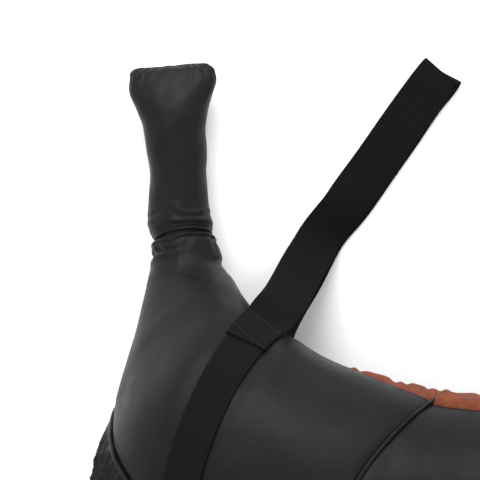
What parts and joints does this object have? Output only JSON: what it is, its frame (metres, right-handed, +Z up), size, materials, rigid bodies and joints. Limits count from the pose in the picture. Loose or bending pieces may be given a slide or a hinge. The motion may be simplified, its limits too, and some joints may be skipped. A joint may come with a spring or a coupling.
{
  "type": "crescent training bag",
  "caption": "Crescent-shaped weighted grappling bag in black leather, with stuffed horn grips, webbing bands round the horns and folded webbing hand loops, lying on its back.",
  "frame": {"origin": "on the surface the bag lies on, under the middle of its bounding box", "axes": "+X right along the bag, +Y from the belly to the horn tips, +Z up out of the front face"},
  "size_m": [0.6902, 0.5633, 0.2114],
  "materials": {
    "cover_leather": "semi-matt black leather",
    "welt_leather": "semi-matt black leather, folded and sewn",
    "rust_suede": "rust-coloured suede",
    "webbing": "black woven webbing",
    "sand": "dry sand",
    "liner_cloth": "plain woven sack cloth",
    "wadding": "loose fibre wadding",
    "tie_plastic": "nylon tie"
  },
  "bodies": {
    "bag": {"belly_gusset": "cover_leather", "neck_strip": "rust_suede", "left_horn_panel": "cover_leather", "right_horn_panel": "cover_leather", "centre_front_panel": "cover_leather", "centre_back_panel": "cover_leather", "gusset_front_welt": "welt_leather", "gusset_back_welt": "welt_leather", "left_seam_welt": "welt_leather", "right_seam_welt": "welt_leather", "left_band": "webbing", "right_band": "webbing", "centre_sand": "sand", "left_sand": "sand", "right_sand": "sand", "centre_sand_bag": "liner_cloth", "left_sand_bag": "liner_cloth", "right_sand_bag": "liner_cloth", "left_bag_tie": "tie_plastic", "right_bag_tie": "tie_plastic", "wadding_sleeve": "wadding"},
    "left_neck": {"left_neck_gather": "cover_leather"},
    "right_neck": {"right_neck_gather": "cover_leather"},
    "left_grip": {"left_grip_cover": "cover_leather", "left_grip_core": "wadding"},
    "right_grip": {"right_grip_cover": "cover_leather", "right_grip_core": "wadding"},
    "left_loop": {"left_loop": "webbing"},
    "right_loop": {"right_loop": "webbing"}
  },
  "joints": [
    {"name": "left_neck_swing", "type": "hinge", "parent": "bag", "child": "left_neck", "pos_m": [-0.2785, 0.11335, 0.029], "axis": [0, 0, 1], "range_deg": [-20, 20], "deforming": ["left_neck_gather"]},
    {"name": "left_grip_lift", "type": "hinge", "parent": "left_neck", "child": "left_grip", "pos_m": [-0.2785, 0.11335, 0.029], "axis": [1, 0, 0], "range_deg": [0, 35], "deforming": ["left_neck_gather"]},
    {"name": "left_loop_swing", "type": "hinge", "parent": "bag", "child": "left_loop", "pos_m": [-0.192, 0.0455, 0.112], "axis": [0.8411, -0.5408, 0], "range_deg": [0, 75]},
    {"name": "right_neck_swing", "type": "hinge", "parent": "bag", "child": "right_neck", "pos_m": [0.2785, 0.11335, 0.029], "axis": [0, 0, 1], "range_deg": [-20, 20], "deforming": ["right_neck_gather"]},
    {"name": "right_grip_lift", "type": "hinge", "parent": "right_neck", "child": "right_grip", "pos_m": [0.2785, 0.11335, 0.029], "axis": [1, 0, 0], "range_deg": [0, 35], "deforming": ["right_neck_gather"]},
    {"name": "right_loop_swing", "type": "hinge", "parent": "bag", "child": "right_loop", "pos_m": [0.192, 0.0455, 0.112], "axis": [0.8411, 0.5408, 0], "range_deg": [0, 75]}
  ]
}
